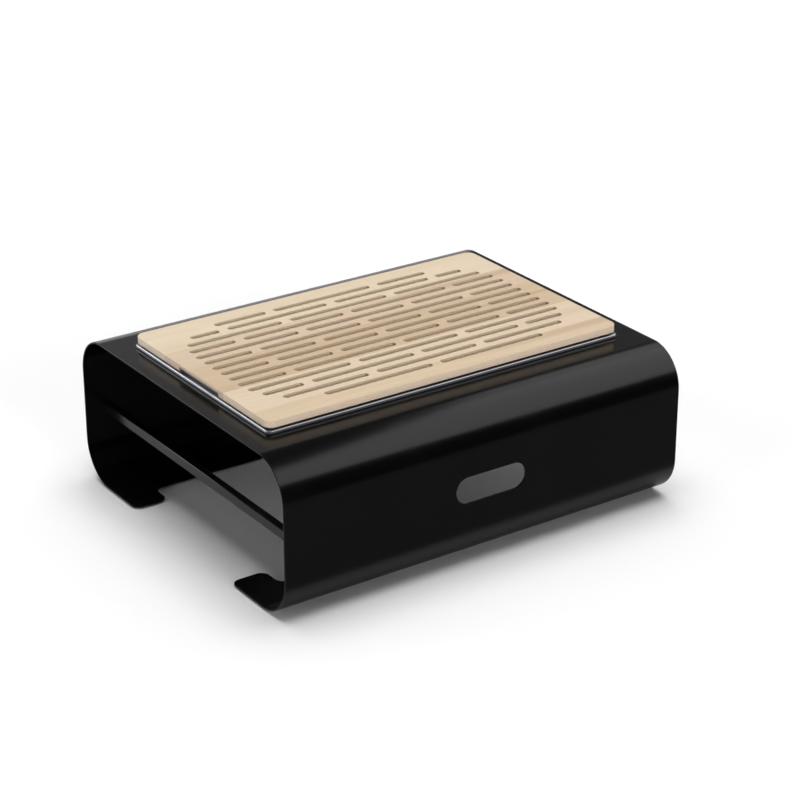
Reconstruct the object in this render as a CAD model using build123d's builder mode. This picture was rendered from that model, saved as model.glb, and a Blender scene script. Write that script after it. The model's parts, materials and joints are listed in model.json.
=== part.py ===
from build123d import *
import os
from math import sqrt

# Bread-cutting station: a slotted wooden board rests in a steel crumb tray, and the tray hangs
# in a window of a bent sheet-steel stand. Millimetres, +Z up, +X along the long side, +Y to the
# back. The origin lies on the floor, below the middle of the stand.

# ------------------------------------------------------------------ stand
stand_length = 597.0
stand_width = 497.0
stand_height = 206.0          # top face above the underside of the floor flanges
sheet = 2.0                   # thickness of the steel sheet
top_bend = 52.5               # outside radius of the two upper bends
bottom_bend = 55.0            # outside radius of the two lower bends
hand_hole_length = 105.0
hand_hole_height = 35.0
hand_hole_level = 104.5       # middle of the hand-hole above the underside of the flanges
flange_reach = 90.5           # floor flange, from the outside of the wall to its long inner edge
tab_reach = 128.5             # foot tab, from the outside of the wall to its inner edge
tab_length = 48.5             # how far a foot tab runs in from the end of the stand
tab_root_radius = 14.0
tab_tip_radius = 12.0

# ------------------------------------------------------------------ crossbars and foot pads
bar_depth = 10.5
bar_height = 13.5
bar_inset = 26.0              # outer face of a bar behind the end of the stand
bar_top = 100.0               # top of a bar above the underside of the flanges
pad_length = 28.0
pad_width = 60.0
pad_thickness = 2.0
pad_corner = 5.0
pad_end_gap = 6.0             # pad to the end of the stand
pad_tip_gap = 8.0             # pad to the inner edge of its foot tab

# ------------------------------------------------------------------ board
board_length = 530.0
board_width = 325.0
board_corner = 12.0
board_level = 17.5            # top of the board above the top face of the stand
lip_thickness = 9.3           # the part of the board that overhangs the tray
block_thickness = 8.7         # the part of the board that drops into the tray
board_edge_round = 1.2
notch_length = 95.0           # finger notch below each end of the board
notch_height = 5.0
notch_depth = 20.0
stave_widths = [78.5, 60.0, 41.0, 43.0, 69.0, 33.5]   # from the back; shares of the board's width

# ------------------------------------------------------------------ slots in the board
slot_row_pitch = 20.2
slot_pitch = 163.4
slot_length = 150.0
slot_width = 10.0
slot_end_margin = 27.0        # end of the board to the slotted field
slot_side_margin = 30.9       # long edge of the board to the slotted field
slot_field_corner = 80.0

# ------------------------------------------------------------------ crumb tray
tray_sheet = 1.0
tray_depth = 31.0             # land to the underside of the tray
tray_floor_bend = 5.0         # inside radius between the walls and the floor
well_corner = 12.0
land_width = 4.5              # narrowest part of the land that the lip of the board rests on
land_step = 6.0               # land set in behind the edge of the board
upstand_corner = 7.0
bead_reach = 0.5              # outside of the rolled edge beyond the board
bead_corner = 6.0
bead_height = 4.7
bead_width = 5.0
bead_round = 2.2
bead_lower_round = 1.2
tray_gap = 1.0                # tray wall to the window in the stand
block_gap = 1.0               # board block to the tray wall

# ------------------------------------------------------------------ levels and derived sizes
flange_under = pad_thickness
plate_top = flange_under + stand_height
lip_under = plate_top + board_level - lip_thickness
board_top = plate_top + board_level
board_under = lip_under - block_thickness
end_face = stand_length / 2
wall_inner_width = stand_width - 2 * sheet
flange_edge = stand_width / 2 - flange_reach
tab_edge = stand_width / 2 - tab_reach

slot_field_length = board_length - 2 * slot_end_margin
slot_field_width = board_width - 2 * slot_side_margin
slot_rows = int(slot_field_width // slot_row_pitch) + 1
first_row = (slot_rows - 1) / 2 * slot_row_pitch
upstand_length = board_length - 2 * land_step
upstand_width = board_width - 2 * land_step
well_length = upstand_length - 2 * land_width
well_width = upstand_width - 2 * land_width
block_length = well_length - 2 * block_gap
block_width = well_width - 2 * block_gap
block_corner = well_corner - block_gap
window_length = well_length + 2 * (tray_sheet + tray_gap)
window_width = well_width + 2 * (tray_sheet + tray_gap)
window_corner = well_corner + tray_sheet + tray_gap
bead_length = board_length + 2 * bead_reach
bead_outer_width = board_width + 2 * bead_reach
tray_under = lip_under - tray_depth
fold_length = upstand_length - 2 * tray_sheet
fold_width = upstand_width - 2 * tray_sheet
fold_corner = upstand_corner - tray_sheet
pan_length = well_length + 2 * tray_sheet
pan_width = well_width + 2 * tray_sheet
pan_corner = well_corner + tray_sheet

os.makedirs("parts", exist_ok=True)


# ------------------------------------------------------------------ stand shell
with BuildPart() as stand_shell:
    with BuildSketch(Plane.YZ) as section:
        with Locations((0, flange_under + stand_height / 2)):
            outer = Rectangle(stand_width, stand_height)
        fillet(section.vertices().group_by(Axis.Y)[-1], top_bend)
        fillet(section.vertices().group_by(Axis.Y)[0], bottom_bend)
        offset(amount=-sheet, kind=Kind.ARC, mode=Mode.SUBTRACT)
        with Locations((0, flange_under)):
            Rectangle(2 * tab_edge, 4 * sheet, mode=Mode.SUBTRACT)
    extrude(amount=end_face, both=True)

    # the flanges are cut back between the four foot tabs
    with BuildSketch(Plane.XY.offset(flange_under - sheet)) as cut_back:
        Rectangle(2 * stand_length, 2 * tab_edge)
        Rectangle(stand_length - 2 * tab_length, 2 * flange_edge)
        roots = cut_back.vertices().filter_by(lambda v: abs(abs(v.Y) - flange_edge) < 0.01)
        fillet(roots, tab_root_radius)
        tips = cut_back.vertices().filter_by(
            lambda v: abs(abs(v.Y) - tab_edge) < 0.01 and abs(v.X) < end_face
        )
        fillet(tips, tab_tip_radius)
    extrude(amount=3 * sheet, mode=Mode.SUBTRACT)
    tab_corners = (
        stand_shell.edges()
        .filter_by(Axis.Z)
        .filter_by(lambda e: abs(abs(e.center().X) - end_face) < 0.01)
        .filter_by(lambda e: abs(abs(e.center().Y) - tab_edge) < 0.01)
    )
    fillet(tab_corners, tab_tip_radius)

    # window for the tray
    with BuildSketch(Plane.XY.offset(plate_top - 2 * sheet)):
        RectangleRounded(window_length, window_width, window_corner)
    extrude(amount=3 * sheet, mode=Mode.SUBTRACT)

    # one hand-hole through the front wall and one through the back wall
    with BuildSketch(Plane.XZ) as hand_hole:
        with Locations((0, flange_under + hand_hole_level)):
            SlotOverall(hand_hole_length, hand_hole_height)
    extrude(amount=stand_width, both=True, mode=Mode.SUBTRACT)

stand_shell.part.label = "stand_shell"
export_step(stand_shell.part, "parts/stand_shell.step")


# ------------------------------------------------------------------ crossbars
bar_offset = end_face - bar_inset - bar_depth / 2
bar_middle = flange_under + bar_top - bar_height / 2

with BuildPart() as crossbar_left:
    with Locations((-bar_offset, 0, bar_middle)):
        Box(bar_depth, wall_inner_width, bar_height)

crossbar_left.part.label = "crossbar_left"
export_step(crossbar_left.part, "parts/crossbar_left.step")

with BuildPart() as crossbar_right:
    with Locations((bar_offset, 0, bar_middle)):
        Box(bar_depth, wall_inner_width, bar_height)

crossbar_right.part.label = "crossbar_right"
export_step(crossbar_right.part, "parts/crossbar_right.step")


# ------------------------------------------------------------------ foot pads
pad_x = end_face - pad_end_gap - pad_length / 2
pad_y = tab_edge + pad_tip_gap + pad_width / 2
pad_places = {
    "foot_pad_front_left": (-pad_x, -pad_y),
    "foot_pad_front_right": (pad_x, -pad_y),
    "foot_pad_back_left": (-pad_x, pad_y),
    "foot_pad_back_right": (pad_x, pad_y),
}
for pad_name, place in pad_places.items():
    with BuildPart() as foot_pad:
        with BuildSketch(Plane.XY):
            with Locations(place):
                RectangleRounded(pad_length, pad_width, pad_corner)
        extrude(amount=pad_thickness)
    foot_pad.part.label = pad_name
    export_step(foot_pad.part, f"parts/{pad_name}.step")


# ------------------------------------------------------------------ crumb tray
# the space inside the pan, taken out of the tray below
with BuildPart() as pan_hollow:
    with BuildSketch(Plane.XY.offset(tray_under + tray_sheet)):
        RectangleRounded(well_length, well_width, well_corner)
    extrude(amount=tray_depth)
    fillet(pan_hollow.faces().sort_by(Axis.Z)[0].edges(), tray_floor_bend)

with BuildPart() as crumb_tray:
    # rolled edge, a bead that lies on the stand all round
    with BuildSketch(Plane.XY.offset(plate_top)):
        RectangleRounded(bead_length, bead_outer_width, bead_corner)
        RectangleRounded(
            bead_length - 2 * bead_width,
            bead_outer_width - 2 * bead_width,
            bead_corner - bead_width,
            mode=Mode.SUBTRACT,
        )
    extrude(amount=bead_height)
    bead_rings = crumb_tray.faces().sort_by(Axis.Z)
    fillet(bead_rings[-1].edges(), bead_round)
    fillet(crumb_tray.faces().sort_by(Axis.Z)[0].outer_wire().edges(), bead_lower_round)

    # strip between the bead and the upstand
    with BuildSketch(Plane.XY.offset(plate_top)):
        RectangleRounded(
            bead_length - bead_width, bead_outer_width - bead_width, bead_corner - bead_width / 2
        )
        RectangleRounded(fold_length, fold_width, fold_corner, mode=Mode.SUBTRACT)
    extrude(amount=tray_sheet)

    # upstand, a fold of sheet that is hollow below its land
    with BuildSketch(Plane.XY.offset(plate_top)):
        RectangleRounded(upstand_length, upstand_width, upstand_corner)
        RectangleRounded(fold_length, fold_width, fold_corner, mode=Mode.SUBTRACT)
    extrude(amount=lip_under - plate_top)
    with BuildSketch(Plane.XY.offset(lip_under - tray_sheet)):
        RectangleRounded(upstand_length, upstand_width, upstand_corner)
    extrude(amount=tray_sheet)

    # pan, with rounded edges round its floor
    with BuildSketch(Plane.XY.offset(tray_under)):
        RectangleRounded(pan_length, pan_width, pan_corner)
    extrude(amount=tray_depth)
    fillet(crumb_tray.faces().sort_by(Axis.Z)[0].edges(), tray_floor_bend + tray_sheet)
    add(pan_hollow.part, mode=Mode.SUBTRACT)

crumb_tray.part.label = "crumb_tray"
export_step(crumb_tray.part, "parts/crumb_tray.step")


# ------------------------------------------------------------------ board
def field_reach(row_y):
    """Half the length of the slotted field at a given distance from the centre line."""
    middle = slot_field_length / 2 - slot_field_corner
    beyond = abs(row_y) - (slot_field_width / 2 - slot_field_corner)
    if beyond <= 0:
        return slot_field_length / 2
    return middle + sqrt(max(slot_field_corner**2 - beyond**2, 0))


def slots_of_row(row):
    """Start and end of each slot of one row; rows alternate by half a slot pitch."""
    reach = field_reach(first_row - row * slot_row_pitch)
    gap = slot_pitch - slot_length
    shift = (row % 2) * slot_pitch / 2
    slots = []
    for number in range(-3, 4):
        start = max(number * slot_pitch + shift - slot_length / 2, -reach)
        end = min(number * slot_pitch + shift + slot_length / 2, reach)
        if start + reach < gap:
            start = -reach
        if reach - end < gap:
            end = reach
        if end - start > 2 * slot_width:
            slots.append((start, end))
    return slots


# the glued-up board, which is cut into its staves below
with BuildPart() as board_blank:
    with BuildSketch(Plane.XY.offset(lip_under)):
        RectangleRounded(board_length, board_width, board_corner)
    extrude(amount=lip_thickness)
    fillet(board_blank.faces().sort_by(Axis.Z)[-1].edges(), board_edge_round)
    with BuildSketch(Plane.XY.offset(board_under)):
        RectangleRounded(block_length, block_width, block_corner)
    extrude(amount=block_thickness + lip_thickness / 2)

    with BuildSketch(Plane.XY.offset(board_under)):
        for row in range(slot_rows):
            row_y = first_row - row * slot_row_pitch
            for start, end in slots_of_row(row):
                with Locations(((start + end) / 2, row_y)):
                    SlotOverall(end - start, slot_width)
    extrude(amount=lip_thickness + block_thickness, mode=Mode.SUBTRACT)

    notch_rise = block_thickness + notch_height
    with Locations(
        (-board_length / 2, 0, board_under + notch_rise / 2),
        (board_length / 2, 0, board_under + notch_rise / 2),
    ):
        Box(2 * notch_depth, notch_length, notch_rise, mode=Mode.SUBTRACT)

back = board_width / 2
for number, share in enumerate(stave_widths):
    front = back - share * board_width / sum(stave_widths)
    stave_middle = (0, (back + front) / 2, (board_under + board_top) / 2)
    with BuildPart() as stave:
        add(board_blank.part)
        with Locations(stave_middle):
            Box(2 * board_length, back - front, 2 * board_level, mode=Mode.INTERSECT)
    stave.part.label = f"stave_{number + 1}"
    export_step(stave.part, f"parts/stave_{number + 1}.step")
    back = front
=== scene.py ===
# %% [markdown]
# # A bread-cutting station in black sheet steel, satin steel and pale wood
#
# Four things meet here: a stand bent from one black sheet, a stainless crumb tray that hangs in
# its window, a slotted board glued up from staves, and rubber pads. Each is built as its maker
# builds it. The stand is drawn flat and rolled up round its bends, the tray is a profile carried
# round a rectangle, and a stave is a flat plan with a level below every part of it.

# %% Load the frame
import json
from math import cos, pi, radians, sin

import bmesh
import bpy
import numpy as np
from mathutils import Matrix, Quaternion, Vector
from mathutils.geometry import delaunay_2d_cdt

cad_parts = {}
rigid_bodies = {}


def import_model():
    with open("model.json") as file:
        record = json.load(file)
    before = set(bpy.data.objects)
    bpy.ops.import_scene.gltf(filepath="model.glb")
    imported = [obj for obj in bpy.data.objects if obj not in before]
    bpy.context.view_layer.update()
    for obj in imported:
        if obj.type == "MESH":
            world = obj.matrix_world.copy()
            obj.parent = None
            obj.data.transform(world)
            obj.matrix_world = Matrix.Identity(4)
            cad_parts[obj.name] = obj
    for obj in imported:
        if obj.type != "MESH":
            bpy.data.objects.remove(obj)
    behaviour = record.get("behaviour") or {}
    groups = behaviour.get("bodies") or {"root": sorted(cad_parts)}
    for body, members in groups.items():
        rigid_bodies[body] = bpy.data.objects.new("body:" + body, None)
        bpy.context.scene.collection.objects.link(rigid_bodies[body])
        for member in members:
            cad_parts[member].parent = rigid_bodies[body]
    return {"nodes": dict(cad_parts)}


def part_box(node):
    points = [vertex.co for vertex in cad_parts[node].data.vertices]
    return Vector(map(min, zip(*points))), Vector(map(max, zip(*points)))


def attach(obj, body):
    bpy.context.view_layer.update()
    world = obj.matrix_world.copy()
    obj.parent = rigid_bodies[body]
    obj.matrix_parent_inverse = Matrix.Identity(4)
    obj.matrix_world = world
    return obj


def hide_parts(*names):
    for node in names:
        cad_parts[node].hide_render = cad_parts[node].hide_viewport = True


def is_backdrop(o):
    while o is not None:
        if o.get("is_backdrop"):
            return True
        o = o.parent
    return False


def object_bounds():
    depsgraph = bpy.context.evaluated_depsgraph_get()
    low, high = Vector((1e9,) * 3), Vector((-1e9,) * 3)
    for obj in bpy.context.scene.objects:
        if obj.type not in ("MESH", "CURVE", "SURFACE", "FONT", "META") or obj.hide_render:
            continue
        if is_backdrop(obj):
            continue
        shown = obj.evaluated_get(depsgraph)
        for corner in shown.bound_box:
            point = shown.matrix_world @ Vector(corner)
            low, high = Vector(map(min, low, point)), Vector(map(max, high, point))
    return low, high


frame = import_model()
cad_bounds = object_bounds()
MM = 0.001
print("nodes:", len(frame["nodes"]))

# %% [markdown]
# ## Camera
#
# The camera looks down on the left front corner through a long lens, so edges stay almost
# parallel. It is placed by a target, two angles and a distance, which is easier to read and to
# change than a matrix.

# %% Camera
AZIMUTH, ELEVATION, ROLL = radians(-34.495), radians(24.271), radians(-0.051)
TARGET = Vector((0.0252, -0.0145, 0.1250))
DISTANCE = 3.071
LENS_MM, SENSOR_MM = 106.10, 36.0

back = Vector((sin(AZIMUTH) * cos(ELEVATION), -cos(AZIMUTH) * cos(ELEVATION), sin(ELEVATION)))
camera_data = bpy.data.cameras.new("camera")
camera_data.lens = LENS_MM
camera_data.sensor_width = SENSOR_MM
camera = bpy.data.objects.new("camera", camera_data)
camera.location = TARGET + back * DISTANCE
camera.rotation_mode = "QUATERNION"
camera.rotation_quaternion = (-back).to_track_quat("-Z", "Y") @ Quaternion((0, 0, 1), ROLL)
bpy.context.scene.collection.objects.link(camera)
bpy.context.scene.camera = camera
print("camera at", [round(v, 3) for v in camera.location])

# %% [markdown]
# ## Helpers for shapes
#
# Every new piece is a surface worked out with numpy. The helpers below draw rounded outlines and
# put arrays into a mesh. An arc is a formula with a step count, never a list of points.

# %% Outlines
ARC_STEPS = 10
IN_LINE = 1.56


def arc(centre, radius, start, end, steps=ARC_STEPS):
    """Points on a circle: centre plus radius times (cos t, sin t), t from start to end degrees."""
    t = np.radians(np.linspace(start, end, steps + 1))
    return np.asarray(centre) + radius * np.stack([np.cos(t), np.sin(t)], axis=1)


def rounded_rectangle(half_x, half_y, radius, steps=ARC_STEPS):
    """Four quarter circles, one in each corner, joined by straight runs; anticlockwise."""
    x, y = half_x - radius, half_y - radius
    corners = [((x, y), 0), ((-x, y), 90), ((-x, -y), 180), ((x, -y), 270)]
    return np.concatenate([arc(c, radius, a, a + 90, steps) for c, a in corners])


def stadium(start, end, middle_y, radius, steps=ARC_STEPS):
    """A slot's outline: two half circles of the slot's half width, joined by straight runs."""
    right = arc((end - radius, middle_y), radius, -90, 90, 2 * steps)
    left = arc((start + radius, middle_y), radius, 90, 270, 2 * steps)
    return np.concatenate([right, left])


def rounded_path(corners, steps=5):
    """An open path through (x, y, radius) corners. A corner with a radius becomes an arc that
    touches both runs, radius / tan(half angle) away from the corner. Where half the angle between
    the runs is past IN_LINE radians they are all but in line, and the corner stays a point."""
    pts = np.array([c[:2] for c in corners], float)
    path = [pts[:1]]
    for i in range(1, len(pts) - 1):
        radius = corners[i][2]
        a, b = pts[i - 1] - pts[i], pts[i + 1] - pts[i]
        a, b = a / np.linalg.norm(a), b / np.linalg.norm(b)
        half = np.arccos(np.clip(a @ b, -1, 1)) / 2
        if radius == 0 or half > IN_LINE:
            path.append(pts[i : i + 1])
            continue
        middle = (a + b) / np.linalg.norm(a + b)
        centre = pts[i] + middle * radius / np.sin(half)
        first, last = pts[i] + a * radius / np.tan(half), pts[i] + b * radius / np.tan(half)
        t0 = np.arctan2(*(first - centre)[::-1])
        turn = (np.arctan2(*(last - centre)[::-1]) - t0 + pi) % (2 * pi) - pi
        t = t0 + turn * np.linspace(0, 1, steps + 1)
        path.append(centre + radius * np.stack([np.cos(t), np.sin(t)], axis=1))
    path.append(pts[-1:])
    return np.concatenate(path)


print("a rounded rectangle has", len(rounded_rectangle(10, 5, 1)), "points")

# %% [markdown]
# A flat shape with holes is triangulated with its outlines as fixed edges. Which triangles are
# wood or metal is then an even-odd test of their middles against the outlines: a ray to the
# right crosses the outlines an odd number of times from inside.

# %% Flat plans with holes
# metres: points of a plan that are nearer than this are one point
SAME_PLAN_POINT = 1e-7


def inside(points, loops):
    """Even-odd test: counts how many outline edges a ray to +X crosses, for all points at once."""
    odd = np.zeros(len(points), bool)
    for loop in loops:
        a, b = loop, np.roll(loop, -1, axis=0)
        for (ax, ay), (bx, by) in zip(a, b):
            if ay == by:
                continue
            crosses = (ay > points[:, 1]) != (by > points[:, 1])
            odd ^= crosses & (points[:, 0] < ax + (points[:, 1] - ay) * (bx - ax) / (by - ay))
    return odd


def flat_plan(loops, lines=(), extra_loops=()):
    """Triangles of the region that the loops bound. Lines and extra loops only divide it."""
    points, edges = [], []
    for loop in [*loops, *extra_loops]:
        first = len(points)
        points += [Vector(p) for p in loop]
        n = len(loop)
        edges += [(first + i, first + (i + 1) % n) for i in range(n)]
    for a, b in lines:
        edges.append((len(points), len(points) + 1))
        points += [Vector(a), Vector(b)]
    verts, _, faces, *_ = delaunay_2d_cdt(points, edges, [], 0, SAME_PLAN_POINT)
    verts = np.array([tuple(v) for v in verts])
    faces = np.array(faces)
    keep = inside(verts[faces].mean(axis=1), loops)
    return verts, faces[keep]


# %% Pieces from arrays
# metres for points that are merged; angles for one plane, for an edge to ease and for a soft edge
SAME_POINT = 1e-6
FLAT, RIDGE, ROUND_EDGE = radians(0.5), radians(40), radians(35)


def place_piece(mesh, body, nodes):
    """Gives a mesh its object, which rides on a body and stands for nodes."""
    mesh.polygons.foreach_set("use_smooth", [True] * len(mesh.polygons))
    piece = bpy.data.objects.new(mesh.name, mesh)
    bpy.context.scene.collection.objects.link(piece)
    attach(piece, body)
    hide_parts(*nodes)
    print(piece.name, len(mesh.vertices), "points,", len(mesh.polygons), "faces")
    return piece


def make_piece(name, points, faces, body, nodes, flatten=False):
    """Puts points (metres) and faces into a mesh, merges doubles and turns the faces outwards.
    flatten makes one face of neighbours that lie in one plane to within the angle FLAT."""
    mesh = bpy.data.meshes.new(name)
    mesh.from_pydata(np.asarray(points).tolist(), [], [list(map(int, f)) for f in faces])
    bm = bmesh.new()
    bm.from_mesh(mesh)
    bmesh.ops.remove_doubles(bm, verts=bm.verts, dist=SAME_POINT)
    if flatten:
        bmesh.ops.dissolve_limit(bm, angle_limit=FLAT, verts=bm.verts, edges=bm.edges)
    bmesh.ops.recalc_face_normals(bm, faces=bm.faces)
    bm.to_mesh(mesh)
    bm.free()
    return place_piece(mesh, body, nodes)


def weigh_normals(piece):
    """Lets large flat faces set the normals of the small rounded ones beside them."""
    weighted = piece.modifiers.new("weighted_normals", "WEIGHTED_NORMAL")
    weighted.keep_sharp = True


def middle_and_half(node):
    """The middle of a node's box and half its size."""
    low, high = map(np.array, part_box(node))
    return (low + high) / 2, (high - low) / 2


print("stand box, mm:", [round(2 * v / MM, 1) for v in middle_and_half("stand_shell")[1]])

# %% [markdown]
# ## The stand
#
# The stand is one sheet, cut flat and then bent, so it is made the same way here: a flat plan in
# (x, s), where s is the distance over the sheet from the middle of its top, is cut with its
# window, two hand-holes and four foot tabs, and `roll_up` sends every s to its place on the bent
# section. Each bend is divided into narrow strips, so that its reflections run smoothly. A
# Solidify modifier gives the sheet its thickness and a small bevel breaks its cut edges.

# %% Sizes of the stand
stand_low, stand_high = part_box("stand_shell")
HALF_LENGTH, HALF_WIDTH = stand_high[0], stand_high[1]
UNDER, TOP = stand_low[2], stand_high[2]
SHEET = 2 * MM
TOP_BEND, BOTTOM_BEND = 52.5 * MM, 55 * MM
BEND_STEPS = 18
FLANGE_REACH, TAB_REACH, TAB_LENGTH = 90.5 * MM, 128.5 * MM, 48.5 * MM
TAB_ROOT, TAB_TIP = 14 * MM, 12 * MM
HAND_HOLE = (105 * MM, 35 * MM)
HAND_HOLE_LEVEL = UNDER + 104.5 * MM
WINDOW = (256.5 * MM, 154 * MM, 14 * MM)
SHEET_EASE = 0.35 * MM

top_flat = HALF_WIDTH - TOP_BEND
wall = TOP - UNDER - TOP_BEND - BOTTOM_BEND
SECTION_STARTS = np.cumsum([0, top_flat, TOP_BEND * pi / 2, wall, BOTTOM_BEND * pi / 2])
FLANGE_S, TAB_S = (SECTION_STARTS[4] + reach - BOTTOM_BEND for reach in (FLANGE_REACH, TAB_REACH))
print("sheet from tab to tab over the bends, mm:", round(2 * TAB_S / MM))


# %% Roll the flat sheet up
def roll_up(plan):
    """Sends (x, s) to (x, y, z). Straight runs stay straight; on a bend of radius R the distance
    s turns into the angle s / R about the bend's centre. The front half mirrors the back half."""
    x, s = plan[:, 0], np.abs(plan[:, 1])
    s1, s2, s3, s4 = SECTION_STARTS[1:]
    top_turn = np.clip((s - s1) / TOP_BEND, 0, pi / 2)
    low_turn = np.clip((s - s3) / BOTTOM_BEND, 0, pi / 2)
    down = np.clip(s - s2, 0, wall)
    inward = np.clip(s - s4, 0, None)
    y = np.minimum(s, s1) + TOP_BEND * np.sin(top_turn) - BOTTOM_BEND * (1 - np.cos(low_turn))
    z = TOP - TOP_BEND * (1 - np.cos(top_turn)) - down - BOTTOM_BEND * np.sin(low_turn)
    return np.stack([x, np.sign(plan[:, 1]) * (y - inward), z], axis=1)


def bend_lines():
    """The s of every strip edge in the bends, on the back half."""
    s1, s2, s3, s4 = SECTION_STARTS[1:]
    return np.concatenate([np.linspace(s1, s2, BEND_STEPS + 1), np.linspace(s3, s4, BEND_STEPS + 1)])


print("each bend is divided into", BEND_STEPS, "strips")


# %% Cut the flat sheet
def sheet_outline():
    """A quarter of the cut sheet's outline, mirrored to the other three."""
    tab_x = HALF_LENGTH - TAB_LENGTH
    quarter = np.concatenate([
        arc((tab_x - TAB_ROOT, FLANGE_S + TAB_ROOT), TAB_ROOT, -90, 0),
        arc((tab_x + TAB_TIP, TAB_S - TAB_TIP), TAB_TIP, 180, 90),
        arc((HALF_LENGTH - TAB_TIP, TAB_S - TAB_TIP), TAB_TIP, 90, 0),
        [(HALF_LENGTH, s) for s in bend_lines()[::-1]],
    ])
    right = np.concatenate([quarter, quarter[::-1] * (1, -1)])
    return np.concatenate([right, right[::-1] * (-1, 1)])


hole_s = SECTION_STARTS[2] + TOP - TOP_BEND - HAND_HOLE_LEVEL
hole = stadium(-HAND_HOLE[0] / 2, HAND_HOLE[0] / 2, 0, HAND_HOLE[1] / 2)
sheet_loops = [
    sheet_outline(),
    rounded_rectangle(*WINDOW),
    hole + (0, hole_s),
    hole - (0, hole_s),
]
strip_edges = [
    ((-HALF_LENGTH, side * s), (HALF_LENGTH, side * s)) for s in bend_lines() for side in (-1, 1)
]
plan, triangles = flat_plan(sheet_loops, strip_edges)
print("the flat sheet has", len(triangles), "triangles")

# %% Bend the sheet and give it its thickness
stand = make_piece(
    "bent_stand", roll_up(plan), triangles, "stand", ["stand_shell"], flatten=True
)
outward = sum(f.normal.z for f in stand.data.polygons if f.center.z > TOP - MM)
if outward < 0:
    stand.data.flip_normals()
solid = stand.modifiers.new("sheet_thickness", "SOLIDIFY")
solid.thickness = SHEET
solid.offset = -1
solid.use_even_offset = True
eased = stand.modifiers.new("eased_edges", "BEVEL")
eased.width = SHEET_EASE
eased.segments = 2
eased.limit_method = "ANGLE"
eased.angle_limit = RIDGE
weigh_normals(stand)

# %% [markdown]
# ## Crossbars and pads
#
# A crossbar is a square-cornered bar with slightly rounded arrises, so its section is a rounded
# rectangle carried straight from wall to wall. A pad is a low stack of rounded outlines that
# draws in at its lower edge, as moulded rubber does.

# %% Stacked outlines
def stack(outlines, lift):
    """Joins outlines of equal length into a closed skin. outlines is (levels, points, 2) and
    lift turns an outline and its number into 3-D; both ends are capped."""
    levels, n = outlines.shape[:2]
    points = np.concatenate([lift(outlines[k], k) for k in range(levels)])
    row = np.arange(n)
    nxt = (row + 1) % n
    faces = [np.stack([k * n + row, k * n + nxt, (k + 1) * n + nxt, (k + 1) * n + row], axis=1)
             for k in range(levels - 1)]
    caps = [row[::-1], (levels - 1) * n + row]
    return points, [*np.concatenate(faces), *caps]


def flat_at(levels):
    """A lift that lays outline k flat at z = levels[k]."""
    return lambda o, k: np.column_stack([o, np.full(len(o), levels[k])])


def upright_at(stations):
    """A lift that stands outline k up, facing along Y, at y = stations[k]."""
    return lambda o, k: np.column_stack([o[:, 0], np.full(len(o), stations[k]), o[:, 1]])


# %% Crossbars
BAR_ARRIS = 1.2 * MM
for name in ("crossbar_left", "crossbar_right"):
    middle, half = middle_and_half(name)
    section = rounded_rectangle(half[0], half[2], BAR_ARRIS, steps=4) + (middle[0], middle[2])
    ends = (middle[1] - half[1], middle[1] + half[1])
    points, faces = stack(np.stack([section, section]), upright_at(ends))
    bar = make_piece(name + "_bar", points, faces, "stand", [name])
    weigh_normals(bar)

# %% Foot pads
PAD_CORNER, PAD_ROUND = 5 * MM, 0.8 * MM
for name in sorted(n for n in frame["nodes"] if n.startswith("foot_pad")):
    middle, half = middle_and_half(name)
    turn = np.radians(np.linspace(-90, 0, 5))
    inset = np.append(PAD_ROUND * (1 - np.cos(turn)), 0)
    level = middle[2] + np.append(PAD_ROUND * (1 + np.sin(turn)) - half[2], half[2])
    outlines = np.stack([
        rounded_rectangle(half[0] - i, half[1] - i, PAD_CORNER - i, steps=6) for i in inset
    ])
    points, faces = stack(outlines + middle[:2], flat_at(level))
    pad = make_piece(name.replace("foot_", "rubber_"), points, faces, "stand", [name])
    weigh_normals(pad)

# %% [markdown]
# ## The crumb tray
#
# The tray is pressed from one sheet: floor, wall, a narrow land for the board, a step down, and
# a slim rolled bead that lies on the stand, flush with the board above it. All round the tray
# the section is the same, so it is a profile carried round a rounded rectangle. The corners are
# not concentric: the bead is bent tightly and the well is drawn with a wide radius, so each part
# of the profile has a corner radius of its own, and the radii between are interpolated.

# %% Sizes of the tray
tray_low, tray_high = map(np.array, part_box("crumb_tray"))
BEAD_WIDTH, BEAD_HEIGHT, BEAD_ROUND = 5 * MM, 4.7 * MM, 2.2 * MM
BEAD_INNER_FOOT, BEAD_OUTER_FOOT = 0.5 * MM, 1.6 * MM
STEP_IN, LAND, TRAY_SHEET = 6.5 * MM, 4.5 * MM, 1 * MM
BEAD_CORNER, UPSTAND_CORNER, WELL_CORNER = 6 * MM, 7 * MM, 12 * MM
FLOOR_BEND, LAND_BEND, STEP_BEND, UNDER_BEND = 5 * MM, 0.9 * MM, 0.7 * MM, 0.3 * MM
# a hair is left between bends that would otherwise use up a whole run
HAIR = 0.01 * MM
CORNER_STEPS = 14
land_z = tray_high[2]
floor_z = tray_low[2] + TRAY_SHEET
wall_d = STEP_IN + LAND
fold_d = STEP_IN + TRAY_SHEET
print("tray is", round((land_z - tray_low[2]) / MM, 1), "mm deep")

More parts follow.
